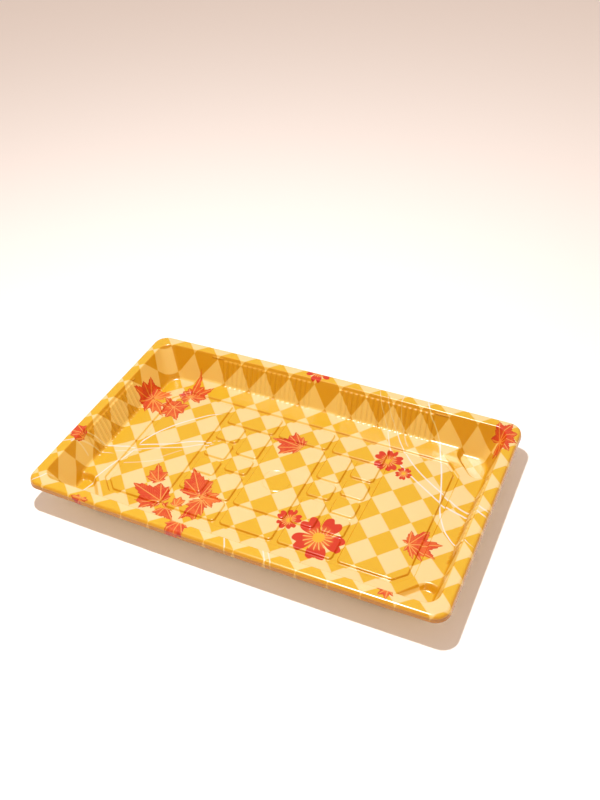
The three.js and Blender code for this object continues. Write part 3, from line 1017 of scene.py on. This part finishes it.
# Paints a leaf over what is under it, from its edge and its distance from the nearest vein.
def leafGroup():
    inputs = {"Under": "colour", "Place": "vector", "Reach": "value",
              "Edge": "value", "Off": "value", "Tint": "value"}
    tree, start, end = newGroup("maple_leaf", inputs, {"Over": "colour"})
    reach, off = start.outputs["Reach"], start.outputs["Off"]
    inside = minus(tree, start.outputs["Edge"], reach)
    mask = calc(tree, "MULTIPLY", inside, leaves["edgeSharp"], clamp=True)
    across = times(tree, reach, calc(tree, "SINE", off))
    along = times(tree, reach, calc(tree, "COSINE", off))
    main = rangeOf(tree, across, 2 * leaves["veinHalf"], leaves["veinHalf"])
    slanted = minus(tree, along, times(tree, across, leaves["sideSlant"]))
    turns = calc(tree, "PINGPONG", times(tree, slanted, leaves["sideClose"]), 1.0)
    side = rangeOf(tree, turns, leaves["sideWidth"], 0.0)
    veins = calc(tree, "MAXIMUM", main, times(tree, side, leaves["sideShare"]))
    veins = times(tree, veins, rangeOf(tree, inside, *leaves["veinFade"]))
    noise = noiseOf(tree, start.outputs["Place"], leaves["blotchSize"], leaves["blotchDetail"])
    blotches = calc(tree, "MULTIPLY_ADD", noise, leaves["blotchGain"], leaves["blotchShift"])
    blend = calc(tree, "ADD", start.outputs["Tint"], blotches, clamp=True)
    body = mixed(tree, blend, inLight(*leaves["red"]), inLight(*leaves["orange"]))
    edgeLine = rangeOf(tree, inside, *leaves["rimFade"], 0.0, leaves["rimShare"])
    body = mixed(tree, edgeLine, body, inLight(*leaves["rim"]))
    body = mixed(tree, times(tree, veins, leaves["veinShare"]), body, inLight(*leaves["vein"]))
    tree.links.new(mixed(tree, mask, start.outputs["Under"], body), end.inputs["Over"])
    return tree


def withLeaf(tree, sheet, groups, colour, leaf):
    x, y, tint, notch, lobes = leaf
    around = useGroup(tree, groups[0], Place=sheet, Middle=(x, y, 0))
    edge, veins = leafRound(notch, lobes)
    most = max(length for _, length in lobes)
    turn = around["Turn"]
    quarter = 90
    outline = curveOf(tree, turn, [(angle / 360, reach / most) for angle, reach in edge], True)
    off = curveOf(tree, turn, [(angle / 360, away / quarter) for angle, away in veins], True)
    return useGroup(tree, groups[1], Under=colour, Place=sheet, Reach=around["Reach"],
                    Edge=times(tree, outline, most),
                    Off=times(tree, off, math.radians(quarter)), Tint=tint)[0]


# Five-petalled blossoms. Each: its middle, the way its first petal points, and its radius.
blossoms = {
    "petal": (224, 58, 26),
    "inner": (242, 120, 52),
    "ray": (250, 196, 100),
    "heart": (247, 186, 50),
    "petals": 5,
    "petalEdge": [(0, 0.84), (0.1, 0.9), (0.28, 1.0), (0.5, 0.98), (0.68, 0.9), (0.82, 0.76),
                  (0.93, 0.5), (1, 0.28)],
    "petalSoft": (-0.01, 0.02),
    "innerFade": (0.62, 0.3),
    "rays": 3.5,               # to half a petal, how wide, and how far out they reach and vary
    "rayWidth": (0.4, 0.15),
    "rayReach": 0.55,
    "rayVary": 0.07,
    "rayWaves": 17.0,
    "heartReach": 0.25,
    "heartVary": 0.02,
    "heartWaves": 15.0,
    "soft": 0.04,
    "spots": [
        (37.2, -30.2, -3, 13.7),
        (17.8, -24.7, 20, 6.8),
        (50.3, 32, 16, 8.2),
        (61.5, 25.6, -10, 4.6),
        (-6.5, 72.6, -90, 8.6),
    ],
}


# How far the rays or the heart reach, a little longer and shorter by turns.
def waved(tree, turn, part):
    wave = calc(tree, "SINE", times(tree, turn, blossoms[part + "Waves"]))
    return calc(tree, "MULTIPLY_ADD", wave, blossoms[part + "Vary"], blossoms[part + "Reach"])


def blossomGroup():
    tree, start, end = newGroup("blossom", {"Under": "colour", "Place": "vector"}, {"Over": "colour"})
    x, y, _ = partsOf(tree, start.outputs["Place"])
    squares = [times(tree, value, value) for value in (x, y)]
    reach = calc(tree, "SQRT", calc(tree, "ADD", *squares))
    turn = calc(tree, "ARCTAN2", y, x)
    petals = times(tree, turn, blossoms["petals"] / math.pi)
    edge = curveOf(tree, calc(tree, "PINGPONG", petals, 1.0), blossoms["petalEdge"], False)
    petal = rangeOf(tree, minus(tree, edge, reach), *blossoms["petalSoft"])
    rays = calc(tree, "PINGPONG", times(tree, petals, blossoms["rays"]), 1.0)
    rayLength = waved(tree, turn, "ray")
    rayShare = times(tree, rangeOf(tree, rays, *blossoms["rayWidth"]),
                    rangeOf(tree, minus(tree, rayLength, reach), 0.0, blossoms["soft"]))
    innerShare = rangeOf(tree, reach, *blossoms["innerFade"])
    body = mixed(tree, innerShare, inLight(*blossoms["petal"]), inLight(*blossoms["inner"]))
    over = mixed(tree, petal, start.outputs["Under"], body)
    over = mixed(tree, rayShare, over, inLight(*blossoms["ray"]))
    heartEdge = waved(tree, turn, "heart")
    heart = rangeOf(tree, minus(tree, heartEdge, reach), 0.0, blossoms["soft"])
    tree.links.new(mixed(tree, heart, over, inLight(*blossoms["heart"])), end.inputs["Over"])
    return tree


def printColour(tree):
    uv = addNode(tree, "ShaderNodeUVMap", uv_map="sheet")
    scaled = addNode(tree, "ShaderNodeVectorMath", operation="SCALE")
    sheet = feed(tree, scaled, {0: uv.outputs[0], "Scale": sheetScale})[0]
    x, y, _ = partsOf(tree, sheet)
    checks, paleShare = checkColour(tree, x, y)
    colour = withStrokes(tree, x, y, checks)
    blossom = blossomGroup()
    for spotX, spotY, turn, radius in blossoms["spots"]:
        place = motifPlace(tree, sheet, spotX, spotY, turn, radius)
        colour = useGroup(tree, blossom, Under=colour, Place=place)[0]
    groups = (aroundGroup(), leafGroup())
    for leaf in leaves["spots"]:
        colour = withLeaf(tree, sheet, groups, colour, leaf)
    # Painted shade on steep faces and between the ribs is laid over the print.
    return withPaintedShade(tree, colour, paleShare)


# Painted shade: on steep faces, the walls and the cells' edges, the print is darkened and deepened in
# colour, and more so on the steeper sides of the ribs.
def withPaintedShade(tree, colour, paleShare):
    surface = addNode(tree, "ShaderNodeNewGeometry")
    upward = calc(tree, "ABSOLUTE", partsOf(tree, surface.outputs["Normal"])[2])
    steepShadeColour = mixed(tree, paleShare, (*plastic["steepShadeGold"], 1), (*plastic["steepShadePale"], 1))
    steepShadeShare = rangeOf(tree, upward, *plastic["steepShadeRange"])
    colour = mixed(tree, steepShadeShare, colour, steepShadeColour, "MULTIPLY")
    # Painted shade on the steeper sides of the ribs, darker still.
    ribShade = rangeOf(tree, upward, *plastic["ribShadeRange"])
    return mixed(tree, ribShade, colour, (*plastic["ribShade"], 1), "MULTIPLY")


# The printed sheet. A range runs over how far a face looks up, from 1 on the flat to 0 upright.
plastic = {
    "roughness": 0.24,
    "refraction": 1.59,
    "steepShadeGold": (0.97, 0.76, 0.23),   # painted shade: by which the print's gold and pale darken on steep faces
    "steepShadePale": (1.1, 0.92, 0.45),
    "steepShadeRange": (0.97, 0.76),
    "ribShade": (0.78, 0.66, 0.4),       # and painted shade again on the steeper sides of the ribs
    "ribShadeRange": (0.285, 0.2),
    "through": 0.25,           # share of light that wanders through the thin sheet
    "reach": 0.0006,
    "reachColour": (1.0, 0.75, 0.5),
    "backPale": (0.88, 0.73, 0.49, 1),
    "backDeep": (0.83, 0.66, 0.41, 1),
    "backRoughness": 0.4,
    "waveSize": 45.0,
    "waveHeight": 0.0004,
    "waveStrength": 0.25,
    "waveDetail": 2.0,
}


def newMaterial(name):
    material = bpy.data.materials.new(name)
    material.use_nodes = True
    return material, material.node_tree, material.node_tree.nodes["Principled BSDF"]


# What both faces of the thin sheet share: light that comes through, and slight waves.
def addSheetLook(tree, shader):
    waves = {"Height": waveNoise(tree), "Strength": plastic["waveStrength"],
             "Distance": plastic["waveHeight"]}
    feed(tree, shader, {"Subsurface Weight": plastic["through"], "Subsurface Scale": plastic["reach"],
                        "Subsurface Radius": plastic["reachColour"],
                        "Normal": feed(tree, addNode(tree, "ShaderNodeBump"), waves)[0]})


def waveNoise(tree):
    place = addNode(tree, "ShaderNodeTexCoord").outputs["Object"]
    return noiseOf(tree, place, plastic["waveSize"], plastic["waveDetail"])


def plainMaterial():
    material, tree, shader = newMaterial("sheet_back")
    colour = mixed(tree, waveNoise(tree), plastic["backDeep"], plastic["backPale"])
    feed(tree, shader, {"Base Color": colour, "Roughness": plastic["backRoughness"]})
    addSheetLook(tree, shader)
    return material


def printMaterial():
    material, tree, shader = newMaterial("sheet_print")
    feed(tree, shader, {"Base Color": printColour(tree), "Roughness": plastic["roughness"],
                        "IOR": plastic["refraction"]})
    addSheetLook(tree, shader)
    return material


tray = makeTray()
tray.data.materials.append(printMaterial())
tray.data.materials.append(plainMaterial())
print("print and plain back made")
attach(tray, "root")
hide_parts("tray")


tableTop = {"half": 3.0, "colour": (0.9, 0.9, 0.9, 1), "roughness": 0.6}

camera = {
    "place": (0.17423, -0.31189, 0.36117),
    "turn": (49.6405, 2.6419, 24.7247),
    "lens": 40.358,
}


def makeTable():
    mesh = bpy.data.meshes.new("table_top")
    half = tableTop["half"]
    corners = [(-half, -half, 0), (half, -half, 0), (half, half, 0), (-half, half, 0)]
    mesh.from_pydata(corners, [], [(0, 1, 2, 3)])
    table = placed("table_top", mesh)
    material, tree, shader = newMaterial("table_white")
    feed(tree, shader, {"Base Color": tableTop["colour"], "Roughness": tableTop["roughness"]})
    mesh.materials.append(material)


def addLamp(name, power, radius):
    lamp = bpy.data.lights.new(name, "POINT")
    lamp.energy = power
    lamp.shadow_soft_size = radius
    holder = placed(name, lamp)
    holder.location = light["lamp"]
    return holder


def makeLight():
    addLamp("lamp", light["lampPower"], light["lampRadius"])
    sheen = addLamp("sheen", light["sheenPower"], light["sheenRadius"])
    sheen.visible_diffuse = False
    sheen.visible_transmission = False
    world = bpy.data.worlds.new("sky")
    world.use_nodes = True
    background = world.node_tree.nodes["Background"]
    feed(world.node_tree, background, {"Color": (*light["sky"], 1), "Strength": 1.0})
    bpy.context.scene.world = world


def makeCamera():
    data = bpy.data.cameras.new("camera")
    data.lens = camera["lens"]
    holder = placed("camera", data)
    holder.location = camera["place"]
    holder.rotation_euler = [math.radians(a) for a in camera["turn"]]
    bpy.context.scene.camera = holder
    bpy.context.scene.view_settings.view_transform = "Standard"


makeTable()
makeLight()
makeCamera()
print("table, light and camera placed")
